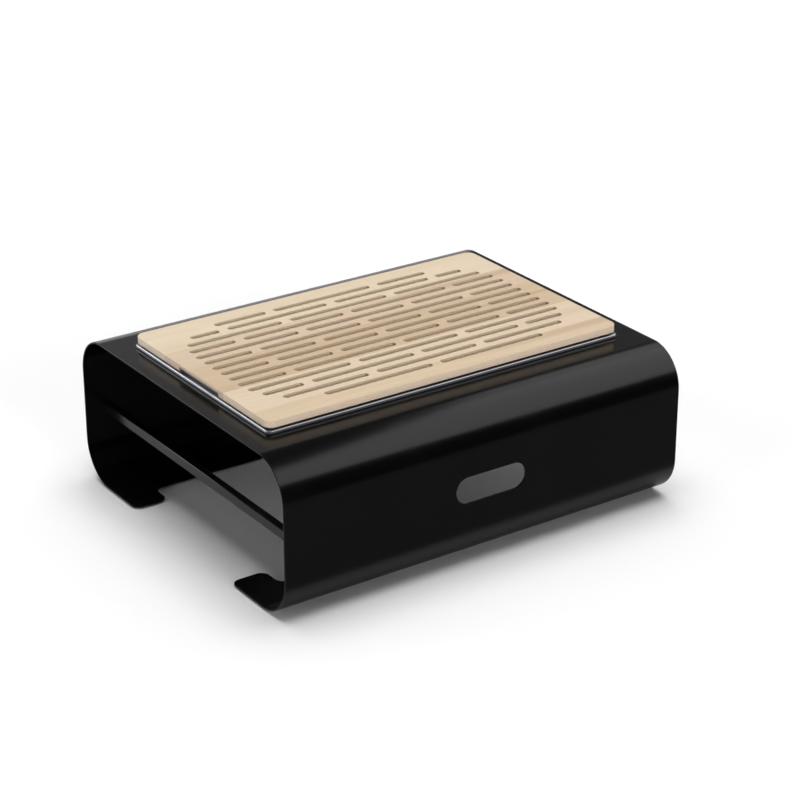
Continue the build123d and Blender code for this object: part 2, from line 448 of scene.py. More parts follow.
# %% Profile of the tray
profile = rounded_path([
    (wall_d + FLOOR_BEND, floor_z, 0),
    (wall_d, floor_z, FLOOR_BEND),
    (wall_d, land_z, LAND_BEND),
    (STEP_IN, land_z, LAND_BEND),
    (STEP_IN, TOP + TRAY_SHEET, STEP_BEND),
    (BEAD_WIDTH, TOP + TRAY_SHEET, BEAD_INNER_FOOT),
    (BEAD_WIDTH, TOP + BEAD_HEIGHT, BEAD_ROUND),
    (0, TOP + BEAD_HEIGHT, BEAD_ROUND),
    (0, TOP, BEAD_OUTER_FOOT),
    (fold_d, TOP, 0),
    (fold_d, land_z - TRAY_SHEET, UNDER_BEND),
    (wall_d - TRAY_SHEET, land_z - TRAY_SHEET, UNDER_BEND),
    (wall_d - TRAY_SHEET, tray_low[2], FLOOR_BEND + TRAY_SHEET - HAIR),
    (wall_d + FLOOR_BEND, tray_low[2], 0),
], steps=7)
print("the profile has", len(profile), "points")

# %% Corner radius at each point of the profile
TOP_CORNERS = (
    [0, BEAD_WIDTH, STEP_IN, wall_d],
    [BEAD_CORNER, BEAD_CORNER - BEAD_WIDTH, UPSTAND_CORNER, WELL_CORNER],
)
UNDER_CORNERS = (
    [0, fold_d, wall_d - TRAY_SHEET],
    [BEAD_CORNER, UPSTAND_CORNER - TRAY_SHEET, WELL_CORNER + TRAY_SHEET],
)


def corner_radius(insets, corners):
    """The radius at each inset: interpolated up to the wall, and past it smaller by the way in."""
    last = corners[0][-1]
    return np.interp(insets, *corners) - np.clip(insets - last, 0, None)


bead_side = int(profile[:, 0].argmin())
underside = bead_side + int(np.argmax(profile[bead_side:, 1] < TOP + HAIR))
radii = np.concatenate([
    corner_radius(profile[:underside, 0], TOP_CORNERS),
    corner_radius(profile[underside:, 0], UNDER_CORNERS),
])
print("corner radii, mm:", round(radii.min() / MM, 1), "to", round(radii.max() / MM, 1))

# %% Carry the profile round
rings = np.stack([
    rounded_rectangle(tray_high[0] - d, tray_high[1] - d, radius, CORNER_STEPS)
    for d, radius in zip(profile[:, 0], radii)
])
points, faces = stack(rings, flat_at(profile[:, 1]))
tray = make_piece("pressed_tray", points, faces, "tray", ["crumb_tray"])
weigh_normals(tray)

# %% [markdown]
# ## The board
#
# The board is glued up from staves first, and slotted and sanded afterwards, so it is made whole
# here and parted last. Its plan is one outline less the slots. The top is level. The underside
# has three levels: the block that drops into the tray, the lip that lies on the land, and the
# roof of the finger notch. Wherever the level changes, a wall closes the step. Then the edges
# are eased, and flat cuts along the glue lines part the staves, flush as in the real board.

# %% Sizes of the board
stave_names = sorted(n for n in frame["nodes"] if n.startswith("stave"))
stave_boxes = {n: [np.array(v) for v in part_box(n)] for n in stave_names}
BOARD_HALF = (stave_boxes["stave_1"][1][0], stave_boxes["stave_1"][1][1])
BOARD_CORNER, BLOCK_CORNER = 12 * MM, 11 * MM
BOARD_TOP, BLOCK_UNDER, LIP_UNDER = stave_boxes["stave_1"][1][2], stave_boxes["stave_1"][0][2], land_z
LIP_OVERHANG = 11.5 * MM
NOTCH_HALF, NOTCH_DEPTH, NOTCH_ROOF = 47.5 * MM, 20 * MM, LIP_UNDER + 5 * MM
SLOT_PITCH, SLOT_LENGTH, SLOT_WIDTH, ROW_PITCH = 163.4 * MM, 150 * MM, 10 * MM, 20.2 * MM
SLOTS_EACH_WAY = 3
FIELD_MARGIN_X, FIELD_MARGIN_Y = 27 * MM, 30.9 * MM
FIELD_HALF = (BOARD_HALF[0] - FIELD_MARGIN_X, BOARD_HALF[1] - FIELD_MARGIN_Y)
FIELD_CORNER = 80 * MM
ROWS = int(2 * FIELD_HALF[1] // ROW_PITCH) + 1
print("board, mm:", [round(2 * v / MM) for v in BOARD_HALF], "in", len(stave_names), "staves")


# %% Where the slots are
def field_reach(y):
    """Half the slotted field's length at y: straight ends, then a quarter circle at each corner."""
    beyond = abs(y) - (FIELD_HALF[1] - FIELD_CORNER)
    if beyond <= 0:
        return FIELD_HALF[0]
    return FIELD_HALF[0] - FIELD_CORNER + max(FIELD_CORNER**2 - beyond**2, 0) ** 0.5


def row_slots(row):
    """(start, end, y) of each slot in a row. Every other row is shifted by half a pitch. A slot
    that ends nearly at the field's edge runs up to it, and one cut down to a stub is left out."""
    y = ((ROWS - 1) / 2 - row) * ROW_PITCH
    reach, gap = field_reach(y), SLOT_PITCH - SLOT_LENGTH
    slots = []
    for number in range(-SLOTS_EACH_WAY, SLOTS_EACH_WAY + 1):
        middle = (number + 0.5 * (row % 2)) * SLOT_PITCH
        start, end = max(middle - SLOT_LENGTH / 2, -reach), min(middle + SLOT_LENGTH / 2, reach)
        start = -reach if start + reach < gap else start
        end = reach if reach - end < gap else end
        if end - start > 2 * SLOT_WIDTH:
            slots.append((start, end, y))
    return slots


slots = [slot for row in range(ROWS) for slot in row_slots(row)]
print(len(slots), "slots in", ROWS, "rows")


# %% From plan to solid board
LEVELS = np.array([BOARD_TOP, NOTCH_ROOF, LIP_UNDER, BLOCK_UNDER])
ROOF, LIP, BLOCK = 1, 2, 3


def under_level(middles):
    """Number of the level below each triangle, from the place of its middle."""
    x, y = np.abs(middles[:, 0]), np.abs(middles[:, 1])
    block = (x < BOARD_HALF[0] - LIP_OVERHANG) & (y < BOARD_HALF[1] - LIP_OVERHANG)
    notch = (x > BOARD_HALF[0] - NOTCH_DEPTH) & (y < NOTCH_HALF)
    return np.where(notch, ROOF, np.where(block, BLOCK, LIP))


def solid_from_plan(plan, triangles):
    """Top and underside from the same triangles, and walls along every plan edge where the level
    changes, split at each level in between so that all corners meet."""
    count = len(plan)
    points = np.concatenate([np.column_stack([plan, np.full(count, z)]) for z in LEVELS])
    under = under_level(plan[triangles].mean(axis=1))
    faces = [*triangles, *(triangles[:, ::-1] + under[:, None] * count)]
    sides = {}
    for number, (a, b, c) in enumerate(triangles.tolist()):
        for edge in ((a, b), (b, c), (c, a)):
            sides.setdefault(tuple(sorted(edge)), []).append((edge, under[number]))
    for pair in sides.values():
        (a, b), deep = pair[0]
        shallow = pair[1][1] if len(pair) == 2 else 0
        for k in range(min(deep, shallow), max(deep, shallow)):
            faces.append([a + k * count, a + (k + 1) * count, b + (k + 1) * count, b + k * count])
    return points, faces


print("levels of the board, mm:", (LEVELS / MM).round(1).tolist())

# %% One plan for the whole board
# metres: dividing lines run out past the board's ends
BEYOND = 0.3
notch_start = BOARD_HALF[0] - NOTCH_DEPTH
block_loop = rounded_rectangle(BOARD_HALF[0] - LIP_OVERHANG, BOARD_HALF[1] - LIP_OVERHANG, BLOCK_CORNER)
notch_loop = np.array([
    (notch_start, -NOTCH_HALF), (BEYOND, -NOTCH_HALF), (BEYOND, NOTCH_HALF), (notch_start, NOTCH_HALF)
])
board_loops = [rounded_rectangle(*BOARD_HALF, BOARD_CORNER)]
board_loops += [stadium(start, end, y, SLOT_WIDTH / 2) for start, end, y in slots]
glue_ys = [stave_boxes[name][0][1] for name in stave_names[:-1]]
glue_lines = [((-BEYOND, y), (BEYOND, y)) for y in glue_ys]
dividing_loops = [block_loop, notch_loop * (-1, 1), notch_loop]
board_plan, board_triangles = flat_plan(board_loops, glue_lines, dividing_loops)
print("the board's plan has", len(board_triangles), "triangles")

# %% Edges to ease
# metres: a point this near a plane lies on it
TOUCHES = 1e-5


def crease_angle(edge):
    """The angle between an edge's two faces: above zero on a ridge, below zero in a corner."""
    return edge.calc_face_angle_signed(0) if len(edge.link_faces) == 2 else 0


def at_height(z):
    """A test that is true of points at this height."""
    return lambda point: abs(point.z - z) < TOUCHES


def on_rim(point):
    """True on the board's outer walls, its rounded corners among them."""
    x, y = abs(point.x), abs(point.y)
    in_corner = x > BOARD_HALF[0] - BOARD_CORNER and y > BOARD_HALF[1] - BOARD_CORNER
    return in_corner or x > BOARD_HALF[0] - TOUCHES or y > BOARD_HALF[1] - TOUCHES


def ease(bm, width, segments, wanted):
    """Rounds every ridge whose two ends are wanted."""
    ridges = [
        e for e in bm.edges if crease_angle(e) > RIDGE and all(wanted(v.co) for v in e.verts)
    ]
    bmesh.ops.bevel(
        bm, geom=ridges, offset=width, offset_type="OFFSET", segments=segments,
        profile=0.5, affect="EDGES", clamp_overlap=False,
    )
    print("eased", len(ridges), "ridges by", round(width / MM, 1), "mm")


# %% The board in one piece
TOP_ROUND, SLOT_EASE, UNDER_EASE = 0.8 * MM, 0.5 * MM, 0.4 * MM
on_top, under_block = at_height(BOARD_TOP), at_height(BLOCK_UNDER)
points, faces = solid_from_plan(board_plan, board_triangles)
blank = bmesh.new()
corners = [blank.verts.new(p) for p in points.tolist()]
for face in faces:
    blank.faces.new([corners[i] for i in face])
bmesh.ops.delete(blank, geom=[v for v in blank.verts if not v.link_faces], context="VERTS")
bmesh.ops.recalc_face_normals(blank, faces=blank.faces)
bmesh.ops.dissolve_limit(blank, angle_limit=FLAT, verts=blank.verts, edges=blank.edges)
ease(blank, TOP_ROUND, 4, lambda p: on_top(p) and on_rim(p))
ease(blank, SLOT_EASE, 2, lambda p: on_top(p) and not on_rim(p))
ease(blank, UNDER_EASE, 2, under_block)


# %% Part the staves along the glue lines
def cut_off(bm, y, side):
    """Cuts a solid along the upright plane at y, drops what lies on that side (+1 is the back)
    and closes the cut."""
    cut = bmesh.ops.bisect_plane(
        bm, geom=[*bm.verts, *bm.edges, *bm.faces], dist=SAME_POINT,
        plane_co=(0, y, 0), plane_no=(0, side, 0), clear_outer=True,
    )
    rim = [g for g in cut["geom_cut"] if isinstance(g, bmesh.types.BMEdge)]
    bmesh.ops.edgenet_fill(bm, edges=rim)


staves = []
for name in stave_names:
    front, rear = stave_boxes[name][0][1], stave_boxes[name][1][1]
    part = blank.copy()
    for y, side in ((front, -1), (rear, 1)):
        if abs(y) < BOARD_HALF[1] - MM:
            cut_off(part, y, side)
    bmesh.ops.recalc_face_normals(part, faces=part.faces)
    for edge in part.edges:
        edge.smooth = abs(crease_angle(edge)) < ROUND_EDGE
    open_edges = sum(len(e.link_faces) != 2 for e in part.edges)
    mesh = bpy.data.meshes.new(name.replace("stave", "wooden_stave"))
    part.to_mesh(mesh)
    part.free()
    stave = place_piece(mesh, "board", [name])
    weigh_normals(stave)
    staves.append(stave)
    print(stave.name, "has", open_edges, "open edges")
blank.free()

# %% [markdown]
# ## Finishes
#
# Every finish is a pattern in space, read from Object coordinates, so it runs through a piece as
# wood grain does and needs no unwrapping. Effects that several finishes share are node groups.
# The helpers only place nodes and link them.

# %% Helpers for node trees
class Tree:
    """A thin wrapper round a node tree. Every input may be a plain value or another socket."""

    def __init__(self, tree):
        self.tree = tree

    def feed(self, socket, value):
        """Links a socket to another one, or sets it to a plain value."""
        if isinstance(value, bpy.types.NodeSocket):
            self.tree.links.new(value, socket)
        else:
            socket.default_value = value

    def add(self, kind, inputs=(), **settings):
        """Places a node, makes its settings and feeds its inputs."""
        node = self.tree.nodes.new(kind)
        for key, value in settings.items():
            setattr(node, key, value)
        for key, value in dict(inputs).items():
            self.feed(node.inputs[key], value)
        return node

    def effect(self, group, **inputs):
        """Places a node group and returns its outputs. Patch=0.05 sets the input Patch."""
        named = {key.replace("_", " "): value for key, value in inputs.items()}
        return self.add("ShaderNodeGroup", named, node_tree=group).outputs

    def math(self, operation, a, b=0.0):
        """One operation on two numbers, such as ADD or MULTIPLY."""
        return self.add("ShaderNodeMath", {0: a, 1: b}, operation=operation).outputs[0]

    def vector(self, operation, a, b):
        """The same on two vectors, axis by axis."""
        return self.add("ShaderNodeVectorMath", {0: a, 1: b}, operation=operation).outputs[0]

    def scaled(self, vector, scale):
        """A vector stretched by its own factor along each axis."""
        return self.vector("MULTIPLY", vector, scale)

    def split(self, vector):
        """The X, Y and Z of a vector, by name."""
        return self.add("ShaderNodeSeparateXYZ", {0: vector}).outputs

    def noise(self, vector, scale, detail=3.0, roughness=0.5):
        """Soft noise between 0 and 1, with about `scale` waves to a metre of the vector."""
        inputs = {"Vector": vector, "Scale": scale, "Detail": detail, "Roughness": roughness}
        return self.add("ShaderNodeTexNoise", inputs).outputs["Fac"]

    def ramp(self, value, low, high, to_low=0.0, to_high=1.0):
        """A smooth step: to_low up to low, to_high from high on, and an S-curve between."""
        inputs = {"Value": value, "From Min": low, "From Max": high, "To Min": to_low, "To Max": to_high}
        return self.add("ShaderNodeMapRange", inputs, interpolation_type="SMOOTHSTEP").outputs["Result"]

    def mix(self, factor, a, b):
        """Colour a where the factor is 0 and colour b where it is 1."""
        return self.add("ShaderNodeMix", {0: factor, 6: a, 7: b}, data_type="RGBA").outputs[2]

    def relief(self, shader, height, depth):
        """Feeds a height pattern to a shader as bumps of the given depth in metres."""
        bump = self.add("ShaderNodeBump", {"Height": height, "Distance": depth, "Strength": 1.0})
        self.feed(shader.inputs["Normal"], bump.outputs[0])


def new_group(name, inputs, outputs):
    """A shader node group with named sockets: {name: (kind, default)} in, {name: kind} out."""
    group = bpy.data.node_groups.new(name, "ShaderNodeTree")
    for label, (kind, default) in inputs.items():
        socket = group.interface.new_socket(label, in_out="INPUT", socket_type="NodeSocket" + kind)
        if default is not None:
            socket.default_value = default
    for label, kind in outputs.items():
        group.interface.new_socket(label, in_out="OUTPUT", socket_type="NodeSocket" + kind)
    tree = Tree(group)
    print("shared effect", name, "puts out", ", ".join(outputs))
    return group, tree, tree.add("NodeGroupInput").outputs, tree.add("NodeGroupOutput").inputs


def new_finish(name):
    """An empty material with a Principled shader: the material, its tree, its place and shader."""
    material = bpy.data.materials.new(name)
    material.use_nodes = True
    material.node_tree.nodes.clear()
    tree = Tree(material.node_tree)
    shader = tree.add("ShaderNodeBsdfPrincipled")
    tree.add("ShaderNodeOutputMaterial", {"Surface": shader.outputs[0]})
    print("finish", name)
    return material, tree, tree.add("ShaderNodeTexCoord").outputs["Object"], shader


def rgb(r, g, b):
    """A colour as the eye reads it on a screen (0-255) turned into the linear values of a shader."""
    c = np.array([r, g, b]) / 255
    return (*np.where(c <= 0.04045, c / 12.92, ((c + 0.055) / 1.055) ** 2.4).tolist(), 1.0)


# %% [markdown]
# Two effects are shared. `handled` is the faint unevenness of a surface that is touched and
# wiped: wide soft patches with finer streaks in them. `skin` is the fine relief of a finish,
# such as the orange peel of powder coat or the moulded grain of rubber.

# %% Shared effect: handled
handled, tree, given, put = new_group(
    "handled", {"Vector": ("Vector", None), "Patch": ("Float", 0.05)}, {"Mask": "Float"}
)
patch_scale = tree.math("DIVIDE", 1.0, given["Patch"])
patches = tree.noise(given["Vector"], patch_scale, 2.0)
lengthways = tree.scaled(given["Vector"], (1.0, 6.0, 6.0))
streaks = tree.noise(lengthways, tree.math("MULTIPLY", patch_scale, 1.7), 4.0)
mask = tree.math("MULTIPLY", tree.ramp(patches, 0.35, 0.7), tree.ramp(streaks, 0.3, 0.75))
tree.feed(put["Mask"], mask)

# %% Shared effect: skin
skin, tree, given, put = new_group(
    "skin", {"Vector": ("Vector", None), "Grain": ("Float", 0.001)}, {"Height": "Float"}
)
grain_scale = tree.math("DIVIDE", 1.0, given["Grain"])
coarse = tree.noise(given["Vector"], grain_scale, 1.0)
fine = tree.noise(given["Vector"], tree.math("MULTIPLY", grain_scale, 4.0), 2.0)
height = tree.math("ADD", tree.math("MULTIPLY", coarse, 0.75), tree.math("MULTIPLY", fine, 0.25))
tree.feed(put["Height"], height)

# %% [markdown]
# The stand's black is a powder coat: sprayed as dust and baked until it flows. It is nearly
# black, about as shiny as a car's trim, and its skin is faintly dimpled, which breaks up the
# edges of reflections. Handling leaves wide, slightly duller patches.

# %% Black powder coat
coat, tree, place, shader = new_finish("black_powder_coat")
touched = tree.effect(handled, Vector=place, Patch=90 * MM)["Mask"]
shader.inputs["IOR"].default_value = 1.38
tree.feed(shader.inputs["Base Color"], tree.mix(touched, rgb(5, 5, 5), rgb(8, 8, 8)))
tree.feed(shader.inputs["Roughness"], tree.ramp(touched, 0, 1, 0.20, 0.26))
tree.relief(shader, tree.effect(skin, Vector=place, Grain=1.6 * MM)["Height"], 0.012 * MM)

# %% [markdown]
# The foot pads are moulded rubber: matt dark grey, with a fine grain and a little grey dust.

# %% Matt rubber
rubber, tree, place, shader = new_finish("matt_rubber")
dusty = tree.effect(handled, Vector=place, Patch=20 * MM)["Mask"]
tree.feed(shader.inputs["Base Color"], tree.mix(dusty, rgb(34, 34, 35), rgb(46, 45, 44)))
tree.feed(shader.inputs["Roughness"], tree.ramp(dusty, 0, 1, 0.62, 0.8))
tree.relief(shader, tree.effect(skin, Vector=place, Grain=0.6 * MM)["Height"], 0.03 * MM)

# %% [markdown]
# The tray is stainless steel with a satin polish. Its reflections carry its look, so its colour
# hardly varies, and a little plain scatter lifts its dark side. Very fine drawn lines run along
# its length, and wiping marks change its roughness.

# %% Satin steel
DRAWN_LINES = (60.0, 1400.0, 1400.0)
steel, tree, place, shader = new_finish("satin_steel")
shader.inputs["Metallic"].default_value = 0.88
wiping = tree.effect(handled, Vector=place, Patch=40 * MM)["Mask"]
tree.feed(shader.inputs["Base Color"], tree.mix(wiping, rgb(172, 172, 177), rgb(163, 163, 169)))
tree.feed(shader.inputs["Roughness"], tree.ramp(wiping, 0, 1, 0.36, 0.44))
tree.relief(shader, tree.noise(tree.scaled(place, DRAWN_LINES), 1.0, 2.0), 0.004 * MM)

# %% [markdown]
# ## The wood
#
# Wood is solid, so its pattern is too. Rings are nested cylinders about the pith, the middle of
# the tree, which lies somewhere below or beside a stave. Slow noise bends them. Cut along its
# length a stave shows long streaks, and cut across it shows arcs, and both come out of the same
# formula. Fibres, pores and wide streaks of heartwood are laid over them. Each stave has its own
# pith and tones, because the staves come from different planks.
#
# Every noise is stretched along X, the way the grain runs, so each has its own scale in waves per
# metre along X and across.

# %% Grain of one plank: rings, fibres and clouds
RING_BEND, BEND_WAVES = 20 * MM, (3.0, 14.0, 14.0)
FIBRE_WAVES, CLOUD_WAVES, PORE_WAVES = (14.0, 620.0, 620.0), (3.5, 34.0, 34.0), (110.0, 1500.0, 1500.0)
RING_SHARE, FIBRE_SHARE, CLOUD_SHARE = 0.26, 0.30, 0.44
plank_grain, tree, given, put = new_group(
    "plank_grain",
    {
        "Vector": ("Vector", None),
        "Pith": ("Vector", None),
        "Ring": ("Float", 0.004),
        "Streak Y": ("Float", 0.0),
        "Streak Width": ("Float", 0.01),
        "Streak Side": ("Float", 0.0),
    },
    {"Tone": "Float", "Streak": "Float", "Pores": "Float", "Height": "Float"},
)
where = tree.vector("ADD", given["Vector"], given["Pith"])
wander = tree.add(
    "ShaderNodeTexNoise", {"Vector": tree.scaled(where, BEND_WAVES), "Scale": 1.0, "Detail": 2.0}
)
wander = tree.vector("SUBTRACT", wander.outputs["Color"], (0.5, 0.5, 0.5))
wander = tree.scaled(wander, (0.0, RING_BEND, RING_BEND))
bent = tree.vector("ADD", tree.scaled(where, (0.0, 1.0, 1.0)), wander)
radius = tree.add("ShaderNodeVectorMath", {0: bent}, operation="LENGTH").outputs["Value"]
phase = tree.math("FRACT", tree.math("DIVIDE", radius, given["Ring"]))
ring = tree.math("MULTIPLY", tree.ramp(phase, 0.0, 0.85), tree.ramp(phase, 0.9, 1.0, 1.0, 0.0))
fibre = tree.noise(tree.scaled(where, FIBRE_WAVES), 1.0, 4.0, 0.65)
cloud = tree.noise(tree.scaled(where, CLOUD_WAVES), 1.0, 3.0, 0.55)
tone = tree.math("MULTIPLY", ring, RING_SHARE)
tone = tree.math("ADD", tone, tree.math("MULTIPLY", tree.ramp(fibre, 0.3, 0.7), FIBRE_SHARE))
tone = tree.math("ADD", tone, tree.math("MULTIPLY", tree.ramp(cloud, 0.3, 0.7), CLOUD_SHARE))
tree.feed(put["Tone"], tone)

# %% Grain of one plank: the streak of heartwood
STREAK_EDGE, STREAK_START, STREAK_FULL = 12 * MM, -50 * MM, 240 * MM
spot = tree.split(given["Vector"])
offset = tree.math("ABSOLUTE", tree.math("SUBTRACT", spot["Y"], given["Streak Y"]))
ragged = tree.math("MULTIPLY", tree.math("SUBTRACT", cloud, 0.5), STREAK_EDGE)
offset = tree.math("ADD", offset, ragged)
core = tree.math("SUBTRACT", 1.0, tree.math("DIVIDE", offset, given["Streak Width"]))
side = tree.math("MULTIPLY", spot["X"], given["Streak Side"])
heart = tree.math("MULTIPLY", tree.ramp(core, 0.0, 0.75), tree.ramp(side, STREAK_START, STREAK_FULL))
tree.feed(put["Streak"], heart)

# %% Grain of one plank: pores and relief
pores = tree.ramp(tree.noise(tree.scaled(where, PORE_WAVES), 1.0, 1.0), 0.66, 0.74)
tree.feed(put["Pores"], pores)
height = tree.math("SUBTRACT", tree.math("MULTIPLY", fibre, 0.5), tree.math("MULTIPLY", pores, 0.8))
tree.feed(put["Height"], height)

# %% [markdown]
# A sanded top takes oil evenly. The walls carry painted light and shade. The outer walls are painted a little
# brighter than the top, as painted light on the sides. A slot's wall is painted a touch darker at its mouth and
# paler and warmer below it, painted light that makes up for the little light that gets in. Its rounded ends
# carry painted shade, and so does the eased top edge. The finish asks where a point is and which way its
# surface faces, and picks the tone from that.

# %% Tones of the wood, with painted light and shade for its walls and edges
HEARTWOOD_AND_EDGE_SHADE, PORE, SLOT_END_SHADE = (0.84, 0.79, 0.76), (0.6, 0.6, 0.6), (0.72, 0.66, 0.60)
SIDE_PAINTED_LIGHT, MOUTH_PAINTED_SHADE, SLOT_PAINTED_LIGHT = (1.10, 1.12, 1.19), (0.96, 0.97, 0.98), (0.93, 0.80, 0.62, 1.0)
HEART_DEPTH, PORE_DEPTH, EDGE_SHADE_DEPTH = 0.75, 0.35, 0.45
FIELD_FADE = (5 * MM, 10 * MM)
MOUTH_HEIGHTS = (BOARD_TOP - 3.2 * MM, BOARD_TOP - 0.5 * MM)


def shaded(colour, factors):
    """A colour with each channel multiplied by its factor."""
    return tuple(c * k for c, k in zip(colour, factors)) + (1.0,)


def within_field(tree, spot):
    """A mask that is 1 over the slotted field and fades to 0 just outside it."""
    masks = []
    for axis, half in zip("XY", FIELD_HALF):
        reach = tree.math("ABSOLUTE", spot[axis])
        masks.append(tree.ramp(reach, half + FIELD_FADE[0], half + FIELD_FADE[1], 1, 0))
    return tree.math("MULTIPLY", *masks)


def painted_wall_light_and_shade(tree, colour, light, dark, place):
    """Lays painted light on the outer walls and slot walls, and painted shade on slot mouths, slot ends and the
    eased edge, over the top's colour.
    """
    spot = tree.split(place)
    facing = tree.split(tree.add("ShaderNodeNewGeometry").outputs["Normal"])
    slotted = within_field(tree, spot)
    # in a slot: painted shade at the mouth, and painted light, paler and warmer, deeper down
    deep = tree.ramp(spot["Z"], *MOUTH_HEIGHTS, 1, 0)
    slot_wall = tree.mix(deep, shaded(light, MOUTH_PAINTED_SHADE), SLOT_PAINTED_LIGHT)
    # outer walls get the top's light tone made brighter: painted light on the sides
    wall = tree.mix(slotted, shaded(light, SIDE_PAINTED_LIGHT), slot_wall)
    colour = tree.mix(tree.ramp(facing["Z"], 0.3, 0.9, 1, 0), colour, wall)
    # painted shade on the rounded ends of the slots, picked by the way the wall faces
    slot_end_shade = tree.math("MULTIPLY", slotted, tree.ramp(tree.math("ABSOLUTE", facing["X"]), 0.4, 0.9))
    colour = tree.mix(slot_end_shade, colour, shaded(dark, SLOT_END_SHADE))
    # painted shade along the eased top edge, in the heartwood's tone
    edge = tree.math("MULTIPLY", tree.ramp(facing["Z"], 0.35, 0.6), tree.ramp(facing["Z"], 0.9, 0.98, 1, 0))
    return tree.mix(tree.math("MULTIPLY", edge, EDGE_SHADE_DEPTH), colour, shaded(dark, HEARTWOOD_AND_EDGE_SHADE))


# below this height the slot walls are painted paler, as painted light
print("slot walls are raw wood below z =", round(MOUTH_HEIGHTS[0] / MM, 1), "mm")


# %% A finish for each stave
def stave_finish(name, light, dark, pith, ring, streak):
    """Sanded and oiled wood. Tones go from light to dark; a streak is (y, width, side), side being
    +1 for the right end, -1 for the left end and 0 for none."""
    material, tree, place, shader = new_finish(name)
    y, width, side = streak
    grain = tree.effect(
        plank_grain, Vector=place, Pith=pith, Ring=ring,
        Streak_Y=y * MM, Streak_Width=width * MM, Streak_Side=side,
    )
    colour = tree.mix(grain["Tone"], light, dark)
    heart = tree.math("MULTIPLY", grain["Streak"], HEART_DEPTH)
    colour = tree.mix(heart, colour, shaded(dark, HEARTWOOD_AND_EDGE_SHADE))
    pores = tree.math("MULTIPLY", grain["Pores"], PORE_DEPTH)
    colour = tree.mix(pores, colour, shaded(dark, PORE))
    tree.feed(shader.inputs["Base Color"], painted_wall_light_and_shade(tree, colour, light, dark, place))
    tree.feed(shader.inputs["Roughness"], tree.ramp(grain["Tone"], 0.0, 1.0, 0.46, 0.58))
    tree.relief(shader, grain["Height"], 0.06 * MM)
    return material


# light tone, dark tone, pith in metres, ring width in metres, streak (y in mm, width in mm, side)
STAVE_TONES = {
    "stave_1": ((238, 221, 194), (229, 208, 178), (0.0, -0.10, 0.055), 0.0046, (95, 12, -0.2)),
    "stave_2": ((226, 203, 176), (217, 192, 163), (0.3, -0.02, 0.090), 0.0037, (74, 12, 1.0)),
    "stave_3": ((219, 195, 164), (208, 182, 148), (0.7, 0.05, 0.050), 0.0042, (-12.6, 4, 1.0)),
    "stave_4": ((219, 195, 164), (208, 182, 150), (1.3, 0.11, 0.075), 0.0033, (-52, 10, -0.4)),
    "stave_5": ((235, 214, 187), (226, 203, 175), (1.9, 0.02, -0.060), 0.0049, (-92, 14, 0.3)),
    "stave_6": ((229, 206, 177), (217, 193, 161), (2.4, 0.20, 0.045), 0.0040, (-137, 13, 1.0)),
}
WOOD_EXPOSURE = 0.79


def plank_colour(*screen):
    """The shader's colour for a tone measured in full light, which is brighter than one."""
    return tuple(c * WOOD_EXPOSURE for c in rgb(*screen)[:3]) + (1.0,)


for stave, name in zip(staves, stave_names):
    light, dark, pith, ring, streak = STAVE_TONES[name]
    finish = stave_finish(
        "oiled_wood_" + name[-1], plank_colour(*light), plank_colour(*dark), pith, ring, streak
    )
    stave.data.materials.append(finish)

# %% Put the other finishes on
for piece in bpy.context.scene.objects:
    if piece.name in ("bent_stand", "crossbar_left_bar", "crossbar_right_bar"):
        piece.data.materials.append(coat)
    if piece.name.startswith("rubber_pad"):
        piece.data.materials.append(rubber)
tray.data.materials.append(steel)
print("finishes in use:", sorted(m.name for m in bpy.data.materials if m.users))

# %% [markdown]
# ## Floor, sky and lamps
#
# The setting is a white sweep under soft light. Wood and paper are matt and show how much light
# falls on them. Black gloss shows whatever is round it instead. So the two are lit apart. A dome
# of wide soft suns lights only what is matt, and a few soft boxes are seen only in gloss. Towards
# mirror rays the floor and the sky are dark as well, as if black screens stood round the set,
# with pale parts where the coat should show an edge or a glow.

# %% The floor's sheet
FLOOR_HALF, FLOOR_CELLS = 40.0, 8
steps = np.linspace(-FLOOR_HALF, FLOOR_HALF, FLOOR_CELLS + 1)
grid_x, grid_y = np.meshgrid(steps, steps)
floor_points = np.stack([grid_x.ravel(), grid_y.ravel(), np.zeros(grid_x.size)], axis=1)
row = FLOOR_CELLS + 1
cell = (np.arange(FLOOR_CELLS)[:, None] * row + np.arange(FLOOR_CELLS)[None, :]).ravel()
floor_faces = np.stack([cell, cell + 1, cell + row + 1, cell + row], axis=1)
floor_mesh = bpy.data.meshes.new("floor")
floor_mesh.from_pydata(floor_points.tolist(), [], floor_faces.tolist())
floor = bpy.data.objects.new("floor", floor_mesh)
bpy.context.scene.collection.objects.link(floor)
floor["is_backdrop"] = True
print("the floor is", 2 * FLOOR_HALF, "m wide in", len(floor_faces), "cells")

# %% White paper, and where gloss sees it
WHITE_LOW, WHITE_HIGH, FAR_PAINTED_LIGHT = (0.80, 0.80, 0.80, 1.0), (0.83, 0.83, 0.83, 1.0), (0.90, 0.90, 0.90, 1.0)
FAR_LIGHT_FADE = (0.5, 1.0)
MIRRORED_FRONT, MIRRORED_NEAR, MIRRORED_LEFT, MIRRORED_BACK = 0.15, 0.6, 0.65, 0.45
FRONT_FADE, BACK_FADE = (-0.90, -0.70), (HALF_WIDTH, HALF_WIDTH + 50 * MM)
LEFT_RISE, LEFT_FALL = (-0.52, -0.44), (-0.36, -0.30)
NEAR_RISE, NEAR_FALL = (-0.50, -0.44), (HALF_WIDTH + 15 * MM, HALF_WIDTH + 60 * MM)

paper, tree, place, shader = new_finish("white_paper")
flecks = tree.noise(place, 900.0, 2.0)
spot = tree.split(place)
far_x, far_y = tree.math("ABSOLUTE", spot["X"]), tree.math("ABSOLUTE", spot["Y"])
white = tree.mix(flecks, WHITE_LOW, WHITE_HIGH)
# from half a metre out the floor is painted paler: painted light over the long shadows of the low suns
white = tree.mix(tree.ramp(tree.math("MAXIMUM", far_x, far_y), *FAR_LIGHT_FADE), white, FAR_PAINTED_LIGHT)

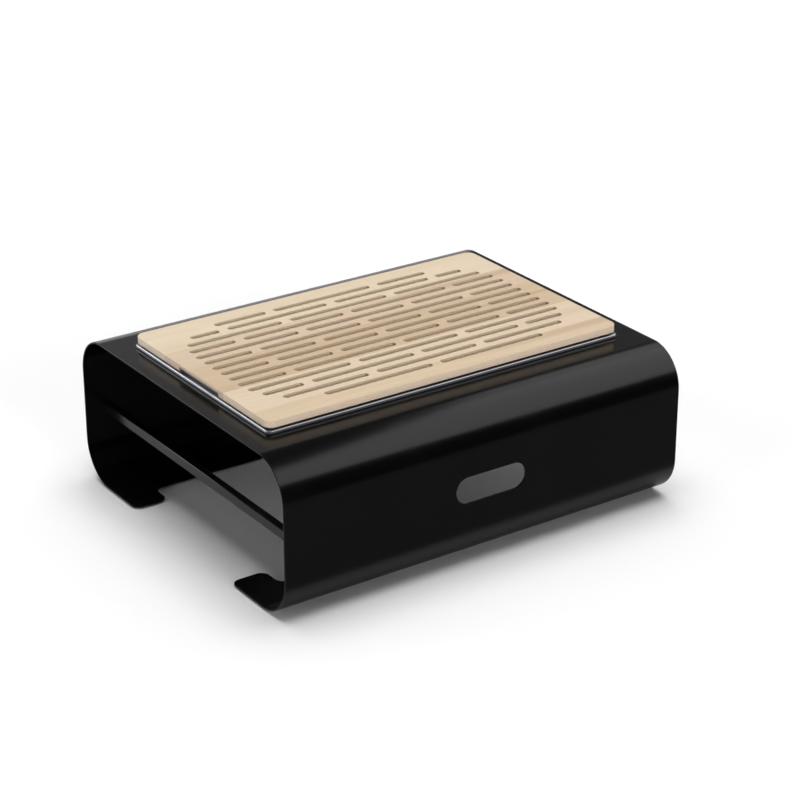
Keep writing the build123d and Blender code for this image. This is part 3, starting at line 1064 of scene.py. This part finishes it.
front = tree.ramp(spot["Y"], *FRONT_FADE, 0.0, MIRRORED_FRONT)
behind = tree.ramp(spot["Y"], *BACK_FADE, 0.0, MIRRORED_BACK)
left = tree.ramp(spot["X"], *LEFT_FALL, MIRRORED_LEFT, 0.0)
left = tree.math("MULTIPLY", tree.ramp(spot["X"], *LEFT_RISE), left)
near = tree.ramp(far_y, *NEAR_FALL, MIRRORED_NEAR, 0.0)
near = tree.math("MULTIPLY", tree.ramp(spot["X"], *NEAR_RISE), near)
mirrored = tree.math("MAXIMUM", tree.math("MAXIMUM", left, near), tree.math("MAXIMUM", front, behind))
direct = tree.math("SUBTRACT", 1.0, tree.add("ShaderNodeLightPath").outputs["Is Glossy Ray"])
seen = tree.math("MAXIMUM", direct, mirrored)
tree.feed(shader.inputs["Base Color"], tree.mix(seen, (0.0, 0.0, 0.0, 1.0), white))
shader.inputs["Roughness"].default_value = 0.9
shader.inputs["Specular IOR Level"].default_value = 0.0
tree.relief(shader, flecks, 0.02 * MM)
floor_mesh.materials.append(paper)

# %% Sky
SKY_SEEN = 1.2
SKY_FRONT, SKY_REAR, SKY_TURN = 0.01, 0.14, (-0.2, 0.6)
SKY_HIGH, HIGH_RISE = 0.35, (0.42, 0.49)
BACK_HORIZON, HORIZON_TURN, HORIZON_RISE = 0.9, (0.5, 0.75), (0.14, 0.32)

sky = bpy.data.worlds.new("sky")
sky.use_nodes = True
sky.node_tree.nodes.clear()
bpy.context.scene.world = sky
tree = Tree(sky.node_tree)
path = tree.add("ShaderNodeLightPath").outputs
towards = tree.split(tree.add("ShaderNodeTexCoord").outputs["Generated"])
mirrored = tree.ramp(towards["Y"], *SKY_TURN, SKY_FRONT, SKY_REAR)
mirrored = tree.math("MULTIPLY", mirrored, tree.ramp(towards["Z"], *HIGH_RISE, 1.0, SKY_HIGH))
horizon = tree.ramp(towards["Z"], *HORIZON_RISE, BACK_HORIZON, 0.0)
horizon = tree.math("MULTIPLY", tree.ramp(towards["Y"], *HORIZON_TURN), horizon)
strength = tree.math("MULTIPLY", path["Is Glossy Ray"], tree.math("ADD", mirrored, horizon))
strength = tree.math("MAXIMUM", strength, tree.math("MULTIPLY", path["Is Camera Ray"], SKY_SEEN))
background = tree.add("ShaderNodeBackground", {"Color": (1.0, 1.0, 1.0, 1.0), "Strength": strength})
tree.add("ShaderNodeOutputWorld", {"Surface": background.outputs[0]})
print("sky strength: camera", SKY_SEEN, "gloss", SKY_FRONT, "to", SKY_REAR)

# %% [markdown]
# A sun's azimuth is 0 in front of the object and 90 at its right end, and its spread is how wide
# a disc it is in the sky. One wide sun overhead gives most of the light. The low ones lift the
# sides and stand for the light that a white room throws back.


# %% A dome of soft suns
def add_lamp(name, kind, energy, place, rotation):
    """A lamp that no camera ray sees."""
    data = bpy.data.lights.new(name, kind)
    data.energy = energy
    lamp = bpy.data.objects.new(name, data)
    lamp.location = place
    lamp.rotation_mode = "QUATERNION"
    lamp.rotation_quaternion = rotation
    lamp.visible_camera = False
    bpy.context.scene.collection.objects.link(lamp)
    return lamp


# azimuth, elevation and spread in degrees, then strength in watts per square metre
SUNS = [
    (0, 90, 50, 2.5),
    (60, 55, 45, 0.25),
    (120, 55, 45, 0.45),
    (180, 55, 45, 0.4),
    (0, 10, 18, 1.65),
    (225, 10, 18, 0.5),
    (270, 10, 18, 0.6),
    (270, 28, 34, 0.2),
    (315, 10, 18, 0.2),
]
SUN_DISTANCE = 3
for number, (azimuth, elevation, spread, watts) in enumerate(SUNS):
    turn, rise = radians(azimuth), radians(elevation)
    aim = Vector((sin(turn) * cos(rise), -cos(turn) * cos(rise), sin(rise)))
    sun = add_lamp(f"dome_{number}", "SUN", watts, aim * SUN_DISTANCE, aim.to_track_quat("Z", "Y"))
    sun.data.angle = radians(spread)
    sun.visible_glossy = False
print(len(SUNS), "suns, together", round(sum(sun[3] for sun in SUNS), 2), "W per square metre")

# %% [markdown]
# The coat's long highlights are mirror images of soft boxes. The largest hangs above the right
# end, turned a little, and draws the highlight along the front bend. A weaker piece behind it
# lets that highlight fade out. One box behind lightens the top, and a small strong one behind on
# the left lights the left end.


# %% Soft boxes for the gloss
def soft_box(name, place, rotation, size, radiance):
    """A rectangular lamp that only gloss shows. Radiance L over an area A takes pi * L * A watts."""
    lamp = add_lamp(name, "AREA", pi * radiance * size[0] * size[1], place, rotation)
    lamp.data.shape = "RECTANGLE"
    lamp.data.size, lamp.data.size_y = size
    lamp.visible_diffuse = False
    print(name, size, "m")


ABOVE, ABOVE_TURN = Vector((2.53, -1.66, 2.0)), Quaternion((0, 0, 1), radians(-22))
ABOVE_WIDTH, ABOVE_LENGTH, REAR_LENGTH = 4.2, 3.3, 1.05
ABOVE_REAR = ABOVE + ABOVE_TURN @ Vector((0, (ABOVE_LENGTH + REAR_LENGTH) / 2, 0))
BEHIND, LEFT = Vector((0.16, 1.95, 1.0)), Vector((-1.05, 1.85, 1.2))
AIM_POINT = Vector((0, 0, 0.2))
soft_box("soft_box_above", ABOVE, ABOVE_TURN, (ABOVE_WIDTH, ABOVE_LENGTH), 1.8)
soft_box("soft_box_above_rear", ABOVE_REAR, ABOVE_TURN, (ABOVE_WIDTH, REAR_LENGTH), 1.2)
soft_box("soft_box_behind", BEHIND, (BEHIND - AIM_POINT).to_track_quat("Z", "Y"), (2.12, 1.0), 0.22)
soft_box("soft_box_left", LEFT, (LEFT - AIM_POINT).to_track_quat("Z", "Y"), (1.1, 1.1), 4.2)
bpy.context.scene.view_settings.view_transform = "Standard"
bpy.context.scene.view_settings.look = "None"

# %% [markdown]
# ## Size
#
# The frame's box and the finished look's box are printed side by side.

# %% Print the boxes
seen_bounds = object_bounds()
sizes = {"cad": [list(map(float, v)) for v in cad_bounds], "visual": [list(map(float, v)) for v in seen_bounds]}
for name, (low, high) in sizes.items():
    print(name, "mm:", [round((b - a) / MM, 2) for a, b in zip(low, high)])
